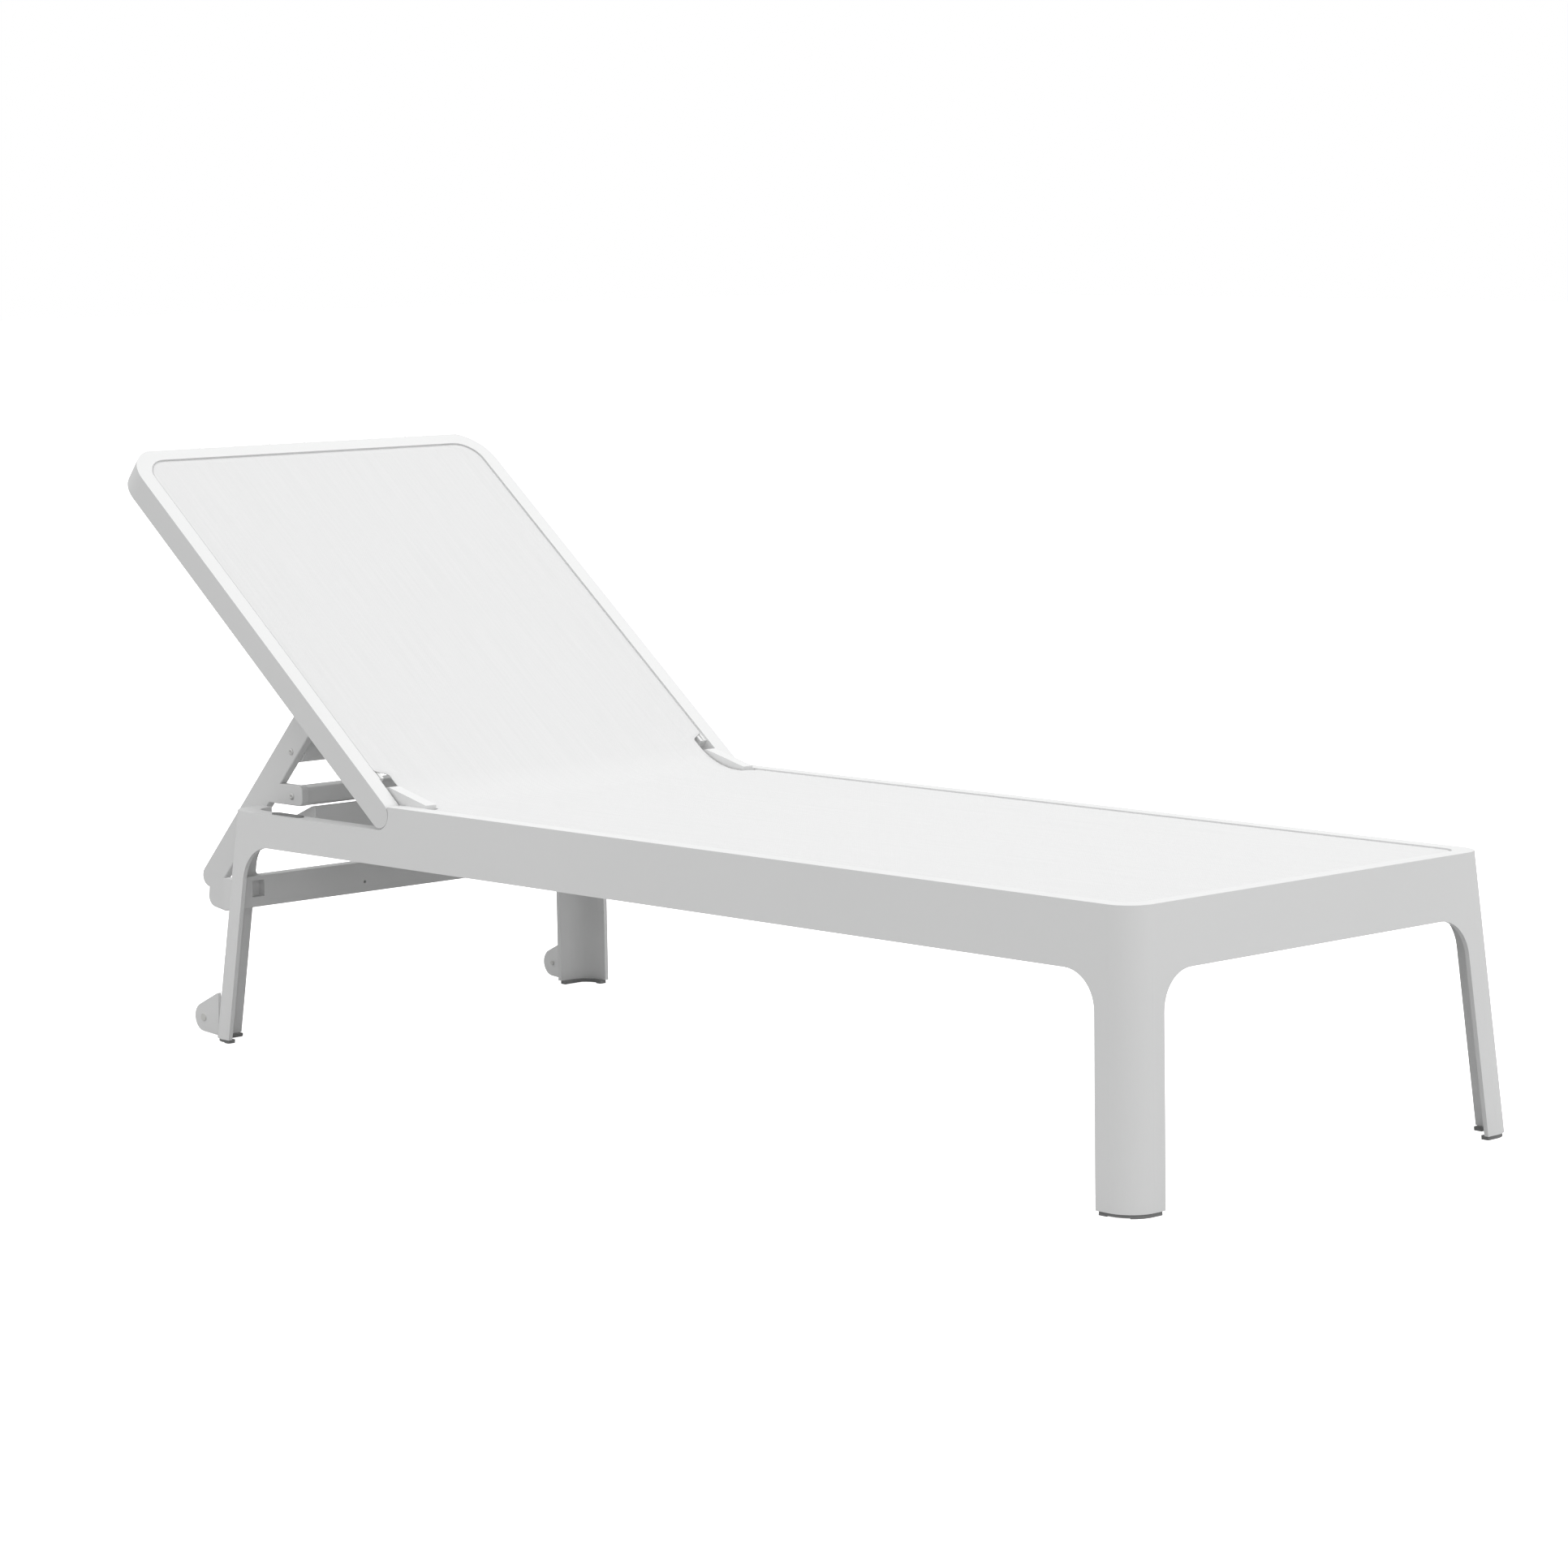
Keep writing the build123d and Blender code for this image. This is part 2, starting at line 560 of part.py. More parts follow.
# ---- backrest moulding -----------------------------------------------------------------------
with BuildPart() as backrest_frame:
    with BuildSketch(back_level(-back_half)):
        with Locations(((back_length - back_half) / 2, 0)):
            Rectangle(back_length + back_half, base_width)
        fillet(vertices().group_by(Axis.X)[-1], back_corner)
    extrude(amount=back_depth)
    with BuildSketch(back_level(-back_half)):
        with Locations(((back_length - back_member - 2 * back_half) / 2, 0)):
            Rectangle(back_length - back_member + 2 * back_half, 2 * rail_inner)
        fillet(vertices().group_by(Axis.X)[-1], back_corner - back_member)
    extrude(amount=back_depth, mode=Mode.SUBTRACT)

    # rounded lower ends and softened head end, seen from the side
    with BuildSketch(Plane.XZ):
        with Locations((hinge_x, hinge_height)):
            Circle(back_half)
        with BuildLine():
            Polyline(
                on_back(0, -back_half),
                on_back(back_length - back_edge, -back_half),
                on_back(back_length, back_edge - back_half),
                on_back(back_length, back_half - back_edge),
                on_back(back_length - back_edge, back_half),
                on_back(0, back_half),
                close=True,
            )
        make_face()
    extrude(amount=base_width, both=True, mode=Mode.INTERSECT)

    # hollow underside with ribs
    with BuildSketch(back_level(-back_half)):
        with Locations(((back_length - back_wall + back_hollow_start) / 2, 0)):
            Rectangle(back_length - back_wall - back_hollow_start, base_width - 2 * back_wall)
        fillet(vertices().group_by(Axis.X)[-1], back_corner - back_wall)
        with Locations(((back_length - back_member + back_wall) / 2, 0)):
            Rectangle(back_length - back_member + back_wall, 2 * (rail_inner + back_wall), mode=Mode.SUBTRACT)
    extrude(amount=back_depth - back_wall, mode=Mode.SUBTRACT)
    back_rib_count = int((back_length - back_hollow_start - back_corner) / back_rib_pitch)
    with BuildSketch(back_level(-back_half + rib)):
        for k in range(1, back_rib_count + 1):
            for y in sides.values():
                with Locations((back_hollow_start + k * back_rib_pitch, y * (half_w - back_member / 2))):
                    Rectangle(rib, back_member - 2)
        for k in range(-back_head_ribs, back_head_ribs + 1):
            with Locations((back_length - back_member / 2, k * back_rib_pitch)):
                Rectangle(back_member - 2, rib)
    extrude(amount=back_depth - rib - 1)

    # solid boss round each end of the prop's rod, and the bores for rod and hinge bush
    with BuildSketch(back_level(-back_half)):
        with Locations((prop_up, 0)):
            with GridLocations(0, base_width - back_member, 1, 2):
                Rectangle(rod_boss, back_member - 2)
    extrude(amount=back_depth - 1)
    for y in sides.values():
        with BuildSketch(across(y * (rail_inner + pin_reach))):
            with Locations((hinge_x, hinge_height)):
                Circle(bush_radius)
            with Locations((prop_x, prop_z)):
                Circle(rod_radius)
        extrude(amount=y * (pin_reach + 1), mode=Mode.SUBTRACT)

    # channel for the backrest sling's keder
    back_channel_top = back_half - sling_recess - sling_thickness - sling_air
    with BuildSketch(back_level(back_channel_top)):
        with Locations(((back_length - back_member + back_sling_start) / 2, 0)):
            Rectangle(back_length - back_member - back_sling_start, 2 * rail_inner)
        fillet(vertices().group_by(Axis.X)[-1], back_corner - back_member)
        with Locations(((back_length - back_member - channel_width) / 2, 0)):
            Rectangle(back_length - back_member - channel_width, 2 * (rail_inner - channel_width),
                      mode=Mode.SUBTRACT)
    extrude(amount=-channel_depth)
    back_keder_w = back_half - sling_recess - keder_drop
    back_keder_end = back_length - back_corner - channel_width
    for y in sides.values():
        x, z = on_back(back_sling_start - 1, 0)
        keder_plane = Plane(origin=(x, 0, z), x_dir=(0, 1, 0), z_dir=(-cos(angle), 0, sin(angle)))
        with BuildSketch(keder_plane):
            with Locations((y * keder_y, -back_keder_w)):
                Circle(keder_radius + running_fit)
            with Locations((y * keder_y, -(back_keder_w + back_channel_top + 1) / 2)):
                Rectangle(keder_slot, back_channel_top + 1 - back_keder_w)
        extrude(amount=back_keder_end - back_sling_start + 1, mode=Mode.SUBTRACT)
    back_keder_u = back_length - back_member - channel_width / 2
    with BuildSketch(across(rail_inner - back_corner)):
        with Locations(on_back(back_keder_u, back_keder_w)):
            Circle(keder_radius + running_fit)
        with Locations(Location(on_back(back_keder_u, (back_keder_w + back_channel_top + 1) / 2), -back_angle)):
            Rectangle(keder_slot, back_channel_top + 1 - back_keder_w)
    extrude(amount=2 * (rail_inner - back_corner), mode=Mode.SUBTRACT)
save(backrest_frame.part, "backrest_frame")

# ---- backrest sling and its keder rods -------------------------------------------------------
with BuildPart() as backrest_sling:
    with BuildSketch(back_level(back_half - sling_recess)):
        with Locations(((back_length - back_member - sling_edge_gap + back_sling_start) / 2, 0)):
            Rectangle(back_length - back_member - sling_edge_gap - back_sling_start,
                      2 * (rail_inner - sling_edge_gap))
        fillet(vertices().group_by(Axis.X)[-1], back_corner - back_member - sling_edge_gap)
    extrude(amount=-sling_thickness)
save(backrest_sling.part, "backrest_sling")

for name, y in sides.items():
    with BuildPart() as back_keder:
        with BuildSketch(keder_plane.offset(1)):
            with Locations((y * keder_y, -back_keder_w)):
                Circle(keder_radius)
        extrude(amount=back_keder_end - back_sling_start - keder_end_gap)
    save(back_keder.part, f"backrest_keder_{name}")
with BuildPart() as back_keder_head:
    with BuildSketch(across(rail_inner - back_corner - keder_end_gap)):
        with Locations(on_back(back_keder_u, back_keder_w)):
            Circle(keder_radius)
    extrude(amount=2 * (rail_inner - back_corner - keder_end_gap))
save(back_keder_head.part, "backrest_keder_head")

# ---- prop: rod, spacers, two notched arms and two cross bars ---------------------------------
with BuildPart() as prop_rod:
    with BuildSketch(across(rail_inner + pin_reach)):
        with Locations((prop_x, prop_z)):
            Circle(rod_radius)
    extrude(amount=2 * (rail_inner + pin_reach))
save(prop_rod.part, "prop_rod")

block_x = head_x + block_reach
block_top = block_bottom + block_height
upper_x, upper_z = on_arm(upper_bar_at, upper_bar_side)
hook_x = block_x - hook_bar_inset - hook_bar_depth / 2
hook_z = (block_top + block_bottom - hook_bar_step) / 2
for name, y in sides.items():
    with BuildPart() as prop_arm:
        with BuildSketch(across(y * arm_outer)):
            with BuildLine():
                Polyline(
                    on_arm(0, -arm_eye),
                    on_arm(arm_taper, -arm_width / 2),
                    on_arm(arm_length, -arm_width / 2),
                    on_arm(arm_length, arm_width / 2),
                    on_arm(arm_taper, arm_width / 2),
                    on_arm(0, arm_eye),
                    close=True,
                )
            make_face()
            with Locations((prop_x, prop_z)):
                Circle(arm_eye)
        extrude(amount=y * arm_thickness)
        # toe: a rounded heel and a hook that points under the head beam
        with BuildSketch(across(y * arm_outer)):
            with Locations(on_arm(arm_length, heel_radius - arm_width / 2)):
                Circle(heel_radius)
            with Locations(on_arm(arm_length - heel_radius, 0)):
                Circle(heel_radius)
            make_hull()
        extrude(amount=y * arm_thickness)
        with BuildSketch(across(y * arm_outer)):
            with Locations(
                on_arm(arm_length - toe_radius, toe_radius - arm_width / 4),
                on_arm(arm_length + toe_drop, toe_start),
                on_arm(arm_length, toe_end),
            ):
                Circle(toe_radius)
            make_hull()
        extrude(amount=y * arm_thickness)
        # block that stands on the head beam
        with BuildSketch(across(y * arm_outer)):
            with BuildLine():
                Polyline(
                    (block_x - block_length, block_bottom),
                    (block_x, block_bottom),
                    (block_x, block_top),
                    (block_x - block_root, block_top),
                    close=True,
                )
            make_face()
            fillet(vertices().group_by(Axis.X)[-1], block_round)
        extrude(amount=y * arm_thickness)
        with BuildSketch(across(y * arm_outer)):
            with Locations((prop_x, prop_z)):
                Circle(rod_radius + running_fit)
            with Locations((upper_x, upper_z), (hook_x, hook_z)):
                Circle(screw_radius)
        extrude(amount=y * arm_thickness, mode=Mode.SUBTRACT)
        chamfer(faces().sort_by(Axis.Y)[0].outer_wire().edges(), arm_bevel)
        chamfer(faces().sort_by(Axis.Y)[-1].outer_wire().edges(), arm_bevel)
    save(prop_arm.part, f"prop_arm_{name}")

    for piece, start, end in (
        ("spacer", rail_inner, arm_outer + spacer_gap),
        ("collar", arm_inner - spacer_gap, arm_inner - spacer_gap - collar_width),
    ):
        with BuildPart() as ring:
            with BuildSketch(across(y * start)):
                with Locations((prop_x, prop_z)):
                    Circle(rod_radius + spacer_wall)
                    Circle(rod_radius, mode=Mode.SUBTRACT)
            extrude(amount=y * (start - end))
        save(ring.part, f"prop_{piece}_{name}")

with BuildPart() as prop_upper_bar:
    with BuildSketch(across(arm_inner)):
        with Locations((upper_x, upper_z)):
            Circle(upper_bar_radius)
            Circle(screw_radius, mode=Mode.SUBTRACT)
    extrude(amount=2 * arm_inner)
    with BuildSketch(across(0)):
        with Locations((upper_x, upper_z)):
            Circle(upper_bar_radius - bar_wall)
    extrude(amount=arm_inner - bar_plug, both=True, mode=Mode.SUBTRACT)
save(prop_upper_bar.part, "prop_upper_bar")

with BuildPart() as prop_hook_bar:
    with BuildSketch(across(arm_inner)):
        with Locations((hook_x, hook_z)):
            RectangleRounded(hook_bar_depth, block_height - hook_bar_step, hook_bar_round)
            Circle(screw_radius, mode=Mode.SUBTRACT)
    extrude(amount=2 * arm_inner)
    with BuildSketch(Plane.XY.offset(block_bottom)):
        with Locations((hook_x, 0)):
            with GridLocations(0, bar_cell_pitch, 1, bar_cells):
                Rectangle(hook_bar_depth - 2 * back_wall, bar_cell_pitch - rib)
    extrude(amount=block_height - hook_bar_step - back_wall, mode=Mode.SUBTRACT)
save(prop_hook_bar.part, "prop_hook_bar")

with BuildPart() as prop_screws:
    for x, z in ((upper_x, upper_z), (hook_x, hook_z)):
        for y in sides.values():
            with BuildSketch(across(y * arm_outer)):
                with Locations((x, z)):
                    Circle(screw_radius)
            extrude(amount=y * (arm_thickness + screw_grip))
            with BuildSketch(across(y * arm_outer)):
                with Locations((x, z)):
                    Circle(screw_head_radius)
            extrude(amount=-y * screw_head)
save(prop_screws.part, "prop_screws")

# ---- transport wheels and axles --------------------------------------------------------------
wheel_face = cheek_outer - cheek - wheel_side_gap
for name, y in sides.items():
    with BuildPart() as wheel:
        with BuildSketch(across(y * wheel_face)):
            with Locations((wheel_x, wheel_out)):
                Circle(wheel_radius)
        extrude(amount=y * wheel_width)
        fillet(edges().filter_by(GeomType.CIRCLE), wheel_round)
        with BuildSketch(across(y * wheel_face)):
            with Locations((wheel_x, wheel_out)):
                Circle(axle_radius + running_fit)
        extrude(amount=y * wheel_width, mode=Mode.SUBTRACT)
    save(wheel.part, f"wheel_{name}")

    with BuildPart() as wheel_axle:
        with BuildSketch(across(y * cheek_outer)):
            with Locations((wheel_x, wheel_out)):
                Circle(axle_radius)
        extrude(amount=y * (2 * cheek + wheel_width + 2 * wheel_side_gap + axle_tail))
        with BuildSketch(across(y * cheek_outer)):
            with Locations((wheel_x, wheel_out)):
                Circle(axle_head_radius)
        extrude(amount=-y * axle_head)
    save(wheel_axle.part, f"wheel_axle_{name}")

# ---- low buffers that the flat backrest comes down on ----------------------------------------
for name, y in sides.items():
    with BuildPart() as buffer:
        with BuildSketch(level(low_top)):
            with Locations((buffer_place - half_l, y * (half_w - rim_width / 2))):
                SlotOverall(buffer_length, buffer_width)
        extrude(amount=buffer_height)
    save(buffer.part, f"backrest_buffer_{name}")
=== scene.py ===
import json
import math
import bmesh
import bpy
from mathutils import Matrix, Vector


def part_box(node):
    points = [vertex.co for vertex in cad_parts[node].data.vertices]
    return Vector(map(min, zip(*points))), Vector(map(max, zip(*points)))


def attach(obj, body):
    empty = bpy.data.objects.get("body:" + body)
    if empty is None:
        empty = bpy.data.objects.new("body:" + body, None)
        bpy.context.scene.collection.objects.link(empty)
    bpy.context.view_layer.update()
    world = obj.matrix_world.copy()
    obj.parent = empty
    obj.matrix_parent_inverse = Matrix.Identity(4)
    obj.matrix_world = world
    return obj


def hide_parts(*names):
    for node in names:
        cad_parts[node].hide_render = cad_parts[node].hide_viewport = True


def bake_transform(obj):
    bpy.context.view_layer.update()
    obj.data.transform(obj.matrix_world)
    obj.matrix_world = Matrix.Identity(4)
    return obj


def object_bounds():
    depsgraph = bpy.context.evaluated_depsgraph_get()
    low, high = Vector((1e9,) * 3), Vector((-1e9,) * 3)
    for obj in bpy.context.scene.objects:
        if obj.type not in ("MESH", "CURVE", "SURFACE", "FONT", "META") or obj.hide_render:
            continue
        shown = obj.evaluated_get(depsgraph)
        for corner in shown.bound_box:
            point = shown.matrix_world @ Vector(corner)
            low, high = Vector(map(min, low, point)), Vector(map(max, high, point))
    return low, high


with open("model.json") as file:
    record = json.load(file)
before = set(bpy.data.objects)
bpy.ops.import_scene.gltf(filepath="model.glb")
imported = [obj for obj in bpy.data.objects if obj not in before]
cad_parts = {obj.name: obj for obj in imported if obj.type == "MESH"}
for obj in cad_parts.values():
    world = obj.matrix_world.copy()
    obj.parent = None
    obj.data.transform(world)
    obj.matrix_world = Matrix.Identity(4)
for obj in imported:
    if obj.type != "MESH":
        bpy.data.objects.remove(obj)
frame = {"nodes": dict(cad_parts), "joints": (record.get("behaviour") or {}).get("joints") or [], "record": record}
cadBox = [list(corner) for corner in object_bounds()]
nodes = frame["nodes"]
joints = {joint["name"]: joint for joint in frame["joints"]}
hinge = Vector(joints["backrest_recline"]["pos_m"])
backTilt = math.radians(-joints["backrest_recline"]["range_deg"][0])
alongBack = Vector((-math.cos(backTilt), 0, math.sin(backTilt)))  # from the hinge to the head end
offBack = Vector((math.sin(backTilt), 0, math.cos(backTilt)))  # out of the backrest's upper face
print("frame loaded:", len(nodes), "nodes")


# camera a little above the rim, looking from the foot end and the near side
cameraSetup = {
    "place": (4.4178, -4.1967, 1.1277),
    "azimuth": 46.203,   # looks along +Y at 0, along -X at 90
    "elevation": 7.08,
    "roll": -0.561,
    "lens": 111.836,
    "sensor": 36.0,
}


def placeCamera(setup):
    azimuth, elevation, roll = (math.radians(setup[key]) for key in ("azimuth", "elevation", "roll"))
    back = Vector((math.sin(azimuth) * math.cos(elevation), -math.cos(azimuth) * math.cos(elevation),
                   math.sin(elevation)))
    right = Vector((math.cos(azimuth), math.sin(azimuth), 0))
    up = back.cross(right)
    turnedRight = math.cos(roll) * right + math.sin(roll) * up
    turnedUp = math.cos(roll) * up - math.sin(roll) * right
    data = bpy.data.cameras.new("camera")
    data.lens = setup["lens"]
    data.sensor_width = setup["sensor"]
    data.clip_end = 60
    camera = bpy.data.objects.new("camera", data)
    bpy.context.scene.collection.objects.link(camera)
    turn = Matrix((turnedRight, turnedUp, back)).transposed().to_4x4()
    camera.matrix_world = Matrix.Translation(setup["place"]) @ turn
    bpy.context.scene.camera = camera


placeCamera(cameraSetup)
print("camera placed")


# shared effects, each built once as a node group
def newGroup(name, inputs, outputs):
    group = bpy.data.node_groups.new(name, "ShaderNodeTree")
    for label, value in inputs.items():
        socket = group.interface.new_socket(label, in_out="INPUT", socket_type="NodeSocketFloat")
        socket.default_value = value
    for label in outputs:
        group.interface.new_socket(label, in_out="OUTPUT", socket_type="NodeSocketFloat")
    return group, group.nodes.new("NodeGroupInput"), group.nodes.new("NodeGroupOutput")


def addMath(tree, operation, first, second=None):
    node = tree.nodes.new("ShaderNodeMath")
    node.operation = operation
    for socket, value in zip(node.inputs, (first, second)):
        if isinstance(value, (int, float)):
            socket.default_value = value
        elif value is not None:
            tree.links.new(value, socket)
    return node.outputs[0]


def addNoise(tree, vector, scale, detail, roughness=0.5):
    node = tree.nodes.new("ShaderNodeTexNoise")
    node.inputs["Detail"].default_value = detail
    node.inputs["Roughness"].default_value = roughness
    tree.links.new(vector, node.inputs["Vector"])
    if isinstance(scale, (int, float)):
        node.inputs["Scale"].default_value = scale
    else:
        tree.links.new(scale, node.inputs["Scale"])
    return node.outputs["Fac"]


def addRange(tree, value, low, high, toLow=0.0, toHigh=1.0):
    node = tree.nodes.new("ShaderNodeMapRange")
    node.inputs["From Min"].default_value = low
    node.inputs["From Max"].default_value = high
    node.inputs["To Min"].default_value = toLow
    node.inputs["To Max"].default_value = toHigh
    tree.links.new(value, node.inputs["Value"])
    return node.outputs["Result"]


# fine spark-eroded grain, slow tone drift and patchy polish of a moulding
mouldTexture = {
    "waveSize": 26.0,
    "polishSize": 14.0,
    "grainShare": 0.35,
    "waveShare": 0.65,
}


def makeMouldGrain(texture):
    group, source, result = newGroup(
        "mouldGrain", {"Grain Size": 900.0, "Drift Size": 2.5}, ("Grain", "Drift", "Polish"))
    place = group.nodes.new("ShaderNodeTexCoord").outputs["Object"]
    grain = addNoise(group, place, source.outputs["Grain Size"], 3.0, 0.6)
    waves = addNoise(group, place, texture["waveSize"], 1.0)
    drift = addNoise(group, place, source.outputs["Drift Size"], 2.0)
    polish = addNoise(group, place, texture["polishSize"], 4.0, 0.65)
    height = addMath(group, "ADD", addMath(group, "MULTIPLY", grain, texture["grainShare"]),
                     addMath(group, "MULTIPLY", waves, texture["waveShare"]))
    group.links.new(height, result.inputs["Grain"])
    group.links.new(addRange(group, drift, 0.3, 0.7), result.inputs["Drift"])
    group.links.new(addRange(group, polish, 0.3, 0.7), result.inputs["Polish"])
    return group


# over-and-under weave of round coated yarn, laid out in metres on the sling's own UVs; its gap output masks the
# openings between yarns, where painted shade goes
def makeSlingWeave():
    group, source, result = newGroup("slingWeave", {"Pitch": 0.0019}, ("Height", "Painted Gap Shade", "Slub"))
    place = group.nodes.new("ShaderNodeTexCoord").outputs["UV"]
    split = group.nodes.new("ShaderNodeSeparateXYZ")
    group.links.new(place, split.inputs[0])
    turns = [
        addMath(group, "MULTIPLY", addMath(group, "DIVIDE", split.outputs[axis], source.outputs["Pitch"]), math.pi)
        for axis in (0, 1)
    ]
    yarns = [addMath(group, "ABSOLUTE", addMath(group, "SINE", turn)) for turn in turns]
    over = addMath(group, "GREATER_THAN",
                   addMath(group, "MULTIPLY", addMath(group, "COSINE", turns[0]),
                           addMath(group, "COSINE", turns[1])), 0.0)
    mix = group.nodes.new("ShaderNodeMix")
    group.links.new(over, mix.inputs["Factor"])
    group.links.new(yarns[0], mix.inputs["A"])
    group.links.new(yarns[1], mix.inputs["B"])
    group.links.new(mix.outputs["Result"], result.inputs["Height"])
    # where neither yarn rises is an opening in the weave; this mask places painted shade there
    lowest = addMath(group, "MAXIMUM", yarns[0], yarns[1])
    group.links.new(addRange(group, lowest, 0.25, 0.75, 1.0, 0.0), result.inputs["Painted Gap Shade"])
    stretched = group.nodes.new("ShaderNodeVectorMath")
    stretched.operation = "MULTIPLY"
    stretched.inputs[1].default_value = (220.0, 6.0, 1.0)
    group.links.new(place, stretched.inputs[0])
    slub = addNoise(group, stretched.outputs[0], 1.0, 2.0)
    group.links.new(addRange(group, slub, 0.3, 0.7), result.inputs["Slub"])
    return group


mouldGrain = makeMouldGrain(mouldTexture)
slingWeave = makeSlingWeave()


# each finish has its own look below
def newMaterial(name, roughness, specular=0.5, metallic=0.0):
    material = bpy.data.materials.new(name)
    material.use_nodes = True
    tree = material.node_tree
    shader = tree.nodes["Principled BSDF"]
    shader.inputs["Roughness"].default_value = roughness
    shader.inputs["Specular IOR Level"].default_value = specular
    shader.inputs["Metallic"].default_value = metallic
    return material, tree, shader


def addGroup(tree, group, **values):
    node = tree.nodes.new("ShaderNodeGroup")
    node.node_tree = group
    for label, value in values.items():
        node.inputs[label.replace("_", " ")].default_value = value
    return node


def mixColours(tree, mask, first, second):
    mix = tree.nodes.new("ShaderNodeMix")
    mix.data_type = "RGBA"
    mix.inputs["A"].default_value = (*first, 1)
    mix.inputs["B"].default_value = (*second, 1)
    tree.links.new(mask, mix.inputs["Factor"])
    return mix.outputs["Result"]


def addBump(tree, height, strength, distance, shader):
    bump = tree.nodes.new("ShaderNodeBump")
    bump.inputs["Strength"].default_value = strength
    bump.inputs["Distance"].default_value = distance
    tree.links.new(height, bump.inputs["Height"])
    tree.links.new(bump.outputs["Normal"], shader.inputs["Normal"])


def makeMoulded(name, look):
    material, tree, shader = newMaterial(name, look["roughness"][0], look["specular"], look.get("metallic", 0.0))
    grain = addGroup(tree, mouldGrain, Grain_Size=look["grainSize"], Drift_Size=look["driftSize"])
    tree.links.new(mixColours(tree, grain.outputs["Drift"], look["colour"], look["driftColour"]),
                   shader.inputs["Base Color"])
    tree.links.new(addRange(tree, grain.outputs["Polish"], 0.0, 1.0, *look["roughness"]),
                   shader.inputs["Roughness"])
    addBump(tree, grain.outputs["Grain"], look["bump"], look["depth"], shader)
    return material


resinLook = {
    "colour": (0.775, 0.778, 0.776),
    "driftColour": (0.752, 0.756, 0.754),
    "roughness": (0.38, 0.50),
    "specular": 0.45,
    "grainSize": 750.0,
    "driftSize": 1.8,
    "bump": 0.25,
    "depth": 0.0004,
}
tubeLook = {
    "colour": (0.78, 0.79, 0.785),
    "driftColour": (0.75, 0.765, 0.76),
    "roughness": (0.30, 0.42),
    "specular": 0.5,
    "grainSize": 420.0,
    "driftSize": 3.0,
    "bump": 0.35,
    "depth": 0.0003,
}
kederLook = {
    "colour": (0.74, 0.745, 0.735),
    "driftColour": (0.70, 0.71, 0.70),
    "roughness": (0.35, 0.5),
    "specular": 0.5,
    "grainSize": 600.0,
    "driftSize": 6.0,
    "bump": 0.2,
    "depth": 0.0003,
}
bearingLook = {
    "colour": (0.66, 0.66, 0.64),
    "driftColour": (0.60, 0.60, 0.58),
    "roughness": (0.22, 0.34),
    "specular": 0.5,
    "grainSize": 1200.0,
    "driftSize": 20.0,
    "bump": 0.1,
    "depth": 0.0002,
}
padLook = {
    "colour": (0.235, 0.237, 0.237),
    "driftColour": (0.285, 0.287, 0.285),
    "roughness": (0.68, 0.88),
    "specular": 0.35,
    "grainSize": 500.0,
    "driftSize": 30.0,
    "bump": 0.6,
    "depth": 0.0006,
}
steelLook = {
    "colour": (0.74, 0.74, 0.73),
    "driftColour": (0.66, 0.66, 0.65),
    "roughness": (0.24, 0.38),
    "specular": 0.5,
    "metallic": 1.0,
    "grainSize": 1500.0,
    "driftSize": 60.0,
    "bump": 0.15,
    "depth": 0.0002,
}
meshLook = {
    "yarn": (0.745, 0.746, 0.746),
    # gap colour is painted shade for the weave's openings, not a yarn colour
    "paintedGapShade": (0.57, 0.572, 0.572),
    "slub": (0.725, 0.727, 0.727),
    "paintedGapShadeShare": 0.30,
    "roughness": 0.62,
    "pitch": 0.0019,
    "bump": 0.35,
    "depth": 0.0004,
    "sheen": 0.15,
}


def makeSlingMesh(look):
    material, tree, shader = newMaterial("slingMesh", look["roughness"], 0.35)
    weave = addGroup(tree, slingWeave, Pitch=look["pitch"])
    yarn = mixColours(tree, weave.outputs["Slub"], look["yarn"], look["slub"])
    # painted shade: the darker gap colour is mixed in at the weave's openings
    mix = tree.nodes.new("ShaderNodeMix")
    mix.data_type = "RGBA"
    tree.links.new(addMath(tree, "MULTIPLY", weave.outputs["Painted Gap Shade"], look["paintedGapShadeShare"]), mix.inputs["Factor"])
    tree.links.new(yarn, mix.inputs["A"])
    mix.inputs["B"].default_value = (*look["paintedGapShade"], 1)
    tree.links.new(mix.outputs["Result"], shader.inputs["Base Color"])
    tree.links.new(addRange(tree, weave.outputs["Slub"], 0.0, 1.0, look["roughness"], look["roughness"] + 0.12),
                   shader.inputs["Roughness"])
    shader.inputs["Sheen Weight"].default_value = look["sheen"]
    addBump(tree, weave.outputs["Height"], look["bump"], look["depth"], shader)
    return material


finishes = {
    "white_resin": makeMoulded("whiteResin", resinLook),
    "white_tube": makeMoulded("powderCoatedTube", tubeLook),
    "keder_cord": makeMoulded("kederCord", kederLook),
    "bearing_resin": makeMoulded("bearingResin", bearingLook),
    "grey_rubber": makeMoulded("padRubber", padLook),
    "stainless": makeMoulded("stainlessScrew", steelLook),
    "white_mesh": makeSlingMesh(meshLook),
}
for part in frame["record"]["subparts"]:
    mesh = nodes[part["node"]].data
    mesh.materials.clear()
    mesh.materials.append(finishes[part["material_slot"]])
print("materials made:", len(finishes))


def newPiece(name, mesh, slot):
    piece = bpy.data.objects.new(name, mesh)
    bpy.context.scene.collection.objects.link(piece)
    piece.data.materials.append(finishes[slot])
    return piece


def bakeModifiers(piece):
    shown = piece.evaluated_get(bpy.context.evaluated_depsgraph_get())
    mesh = bpy.data.meshes.new_from_object(shown)
    piece.modifiers.clear()
    piece.data = mesh


def smoothStep(value):
    value = min(1.0, max(0.0, value))
    return value * value * (3 - 2 * value)


